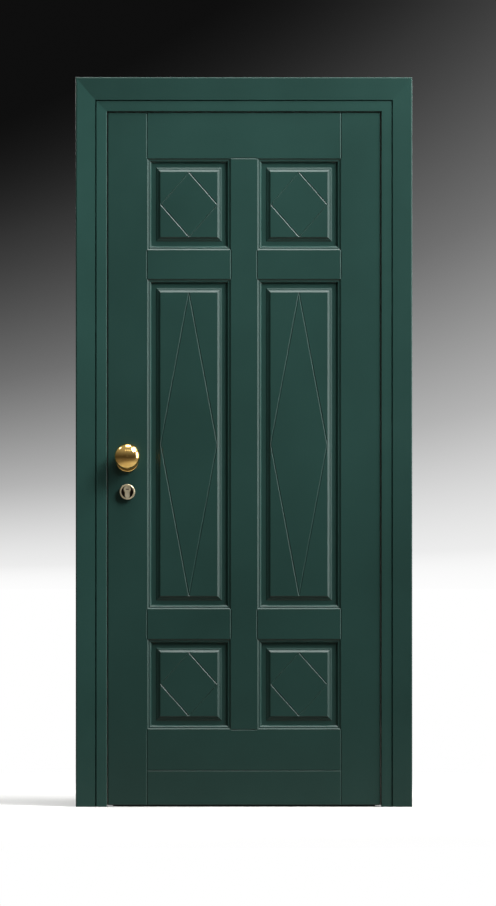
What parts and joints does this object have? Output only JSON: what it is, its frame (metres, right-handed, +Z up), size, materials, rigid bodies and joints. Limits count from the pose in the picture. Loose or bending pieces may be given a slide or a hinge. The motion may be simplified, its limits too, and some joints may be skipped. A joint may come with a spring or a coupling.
{
  "type": "panelled front door",
  "caption": "Dark green panelled entrance door hung in its steel frame with flat casings, fixed ball knob outside, lever inside, cylinder lock and concealed bolts.",
  "frame": {"origin": "on the floor, at the middle of the doorway and of the leaf's depth", "axes": "+X to the right seen from outside (towards the hinges), +Y into the building, +Z up"},
  "size_m": [1.03, 0.22, 2.233],
  "materials": {
    "painted_wood": "satin paint",
    "frame_paint": "satin paint",
    "interior_laminate": "satin paint",
    "steel": "galvanised",
    "bright_steel": "brushed",
    "polished_brass": "polished",
    "satin_brass": "satin",
    "mineral_wool": "matt",
    "aluminium": "satin",
    "black_rubber": "matt"
  },
  "bodies": {
    "frame": {"frame_jamb_lock_side": "frame_paint", "frame_jamb_hinge_side": "frame_paint", "frame_head": "frame_paint", "casing_lock_side": "painted_wood", "casing_hinge_side": "painted_wood", "casing_head": "painted_wood", "frame_gasket": "black_rubber", "latch_keep": "bright_steel", "upper_hinge_frame_wing": "bright_steel", "lower_hinge_frame_wing": "bright_steel", "hinge_pins": "bright_steel"},
    "leaf": {"stile_lock_side": "painted_wood", "stile_hinge_side": "painted_wood", "top_rail": "painted_wood", "mullion": "painted_wood", "upper_cross_rail_left": "painted_wood", "upper_cross_rail_right": "painted_wood", "lower_cross_rail_left": "painted_wood", "lower_cross_rail_right": "painted_wood", "bottom_rail": "painted_wood", "kick_rail": "painted_wood", "upper_left_panel": "painted_wood", "upper_right_panel": "painted_wood", "middle_left_panel": "painted_wood", "middle_right_panel": "painted_wood", "lower_left_panel": "painted_wood", "lower_right_panel": "painted_wood", "upper_mouldings": "painted_wood", "middle_mouldings": "painted_wood", "lower_mouldings": "painted_wood", "leaf_outer_sheet": "steel", "leaf_inner_sheet": "steel", "leaf_stiffeners": "steel", "insulation": "mineral_wool", "interior_panel": "interior_laminate", "drop_seal_housing": "aluminium", "dog_bolts": "bright_steel", "upper_hinge_leaf_wing": "bright_steel", "lower_hinge_leaf_wing": "bright_steel", "lock_case": "steel", "upper_side_lock_case": "steel", "lower_side_lock_case": "steel", "cylinder_body": "polished_brass", "outer_escutcheon": "satin_brass", "inner_escutcheon": "satin_brass", "knob_rose": "polished_brass", "knob": "polished_brass", "lever_rose": "satin_brass"},
    "lever": {"lever": "satin_brass", "lock_follower": "bright_steel"},
    "latch": {"latch_bolt": "bright_steel"},
    "bolts": {"main_bolts": "bright_steel"},
    "upper_side_bolts": {"upper_side_bolts": "bright_steel"},
    "lower_side_bolts": {"lower_side_bolts": "bright_steel"},
    "upper_rod": {"upper_rod": "bright_steel"},
    "lower_rod": {"lower_rod": "bright_steel"},
    "cylinder_core": {"key_plug": "polished_brass", "cylinder_cam": "polished_brass", "inner_key_plug": "polished_brass"},
    "drop_seal": {"drop_seal": "black_rubber"}
  },
  "joints": [
    {"name": "leaf_swing", "type": "hinge", "parent": "frame", "child": "leaf", "pos_m": [0.44, 0.054, 1.065], "axis": [0, 0, -1], "range_deg": [0, 95]},
    {"name": "lever_turn", "type": "hinge", "parent": "leaf", "child": "lever", "pos_m": [-0.357, 0.049, 1.06], "axis": [0, 1, 0], "range_deg": [0, 40], "stiffness_Nm_per_rad": 0.8, "springref_deg": -34.38},
    {"name": "latch_slide", "type": "slide", "parent": "leaf", "child": "latch", "axis": [1, 0, 0], "range_m": [0, 0.012]},
    {"name": "bolts_throw", "type": "slide", "parent": "leaf", "child": "bolts", "axis": [-1, 0, 0], "range_m": [0, 0.03]},
    {"name": "upper_side_throw", "type": "slide", "parent": "leaf", "child": "upper_side_bolts", "axis": [-1, 0, 0], "range_m": [0, 0.02]},
    {"name": "lower_side_throw", "type": "slide", "parent": "leaf", "child": "lower_side_bolts", "axis": [-1, 0, 0], "range_m": [0, 0.02]},
    {"name": "upper_rod_throw", "type": "slide", "parent": "leaf", "child": "upper_rod", "axis": [0, 0, 1], "range_m": [0, 0.02]},
    {"name": "lower_rod_throw", "type": "slide", "parent": "leaf", "child": "lower_rod", "axis": [0, 0, -1], "range_m": [0, 0.02]},
    {"name": "key_turn", "type": "hinge", "parent": "leaf", "child": "cylinder_core", "pos_m": [-0.357, 0.007, 0.972], "axis": [0, 1, 0], "range_deg": [0, 720]},
    {"name": "seal_lift", "type": "slide", "parent": "leaf", "child": "drop_seal", "axis": [0, 0, 1], "range_m": [0, 0.005]}
  ],
  "couplings": [
    {"joint": "latch_slide", "follows": "lever_turn", "m_per_rad": 0.017189},
    {"joint": "upper_side_throw", "follows": "bolts_throw", "ratio": 0.66667},
    {"joint": "lower_side_throw", "follows": "bolts_throw", "ratio": 0.66667},
    {"joint": "upper_rod_throw", "follows": "bolts_throw", "ratio": 0.66667},
    {"joint": "lower_rod_throw", "follows": "bolts_throw", "ratio": 0.66667},
    {"joint": "key_turn", "follows": "bolts_throw", "rad_per_m": 418.88}
  ]
}
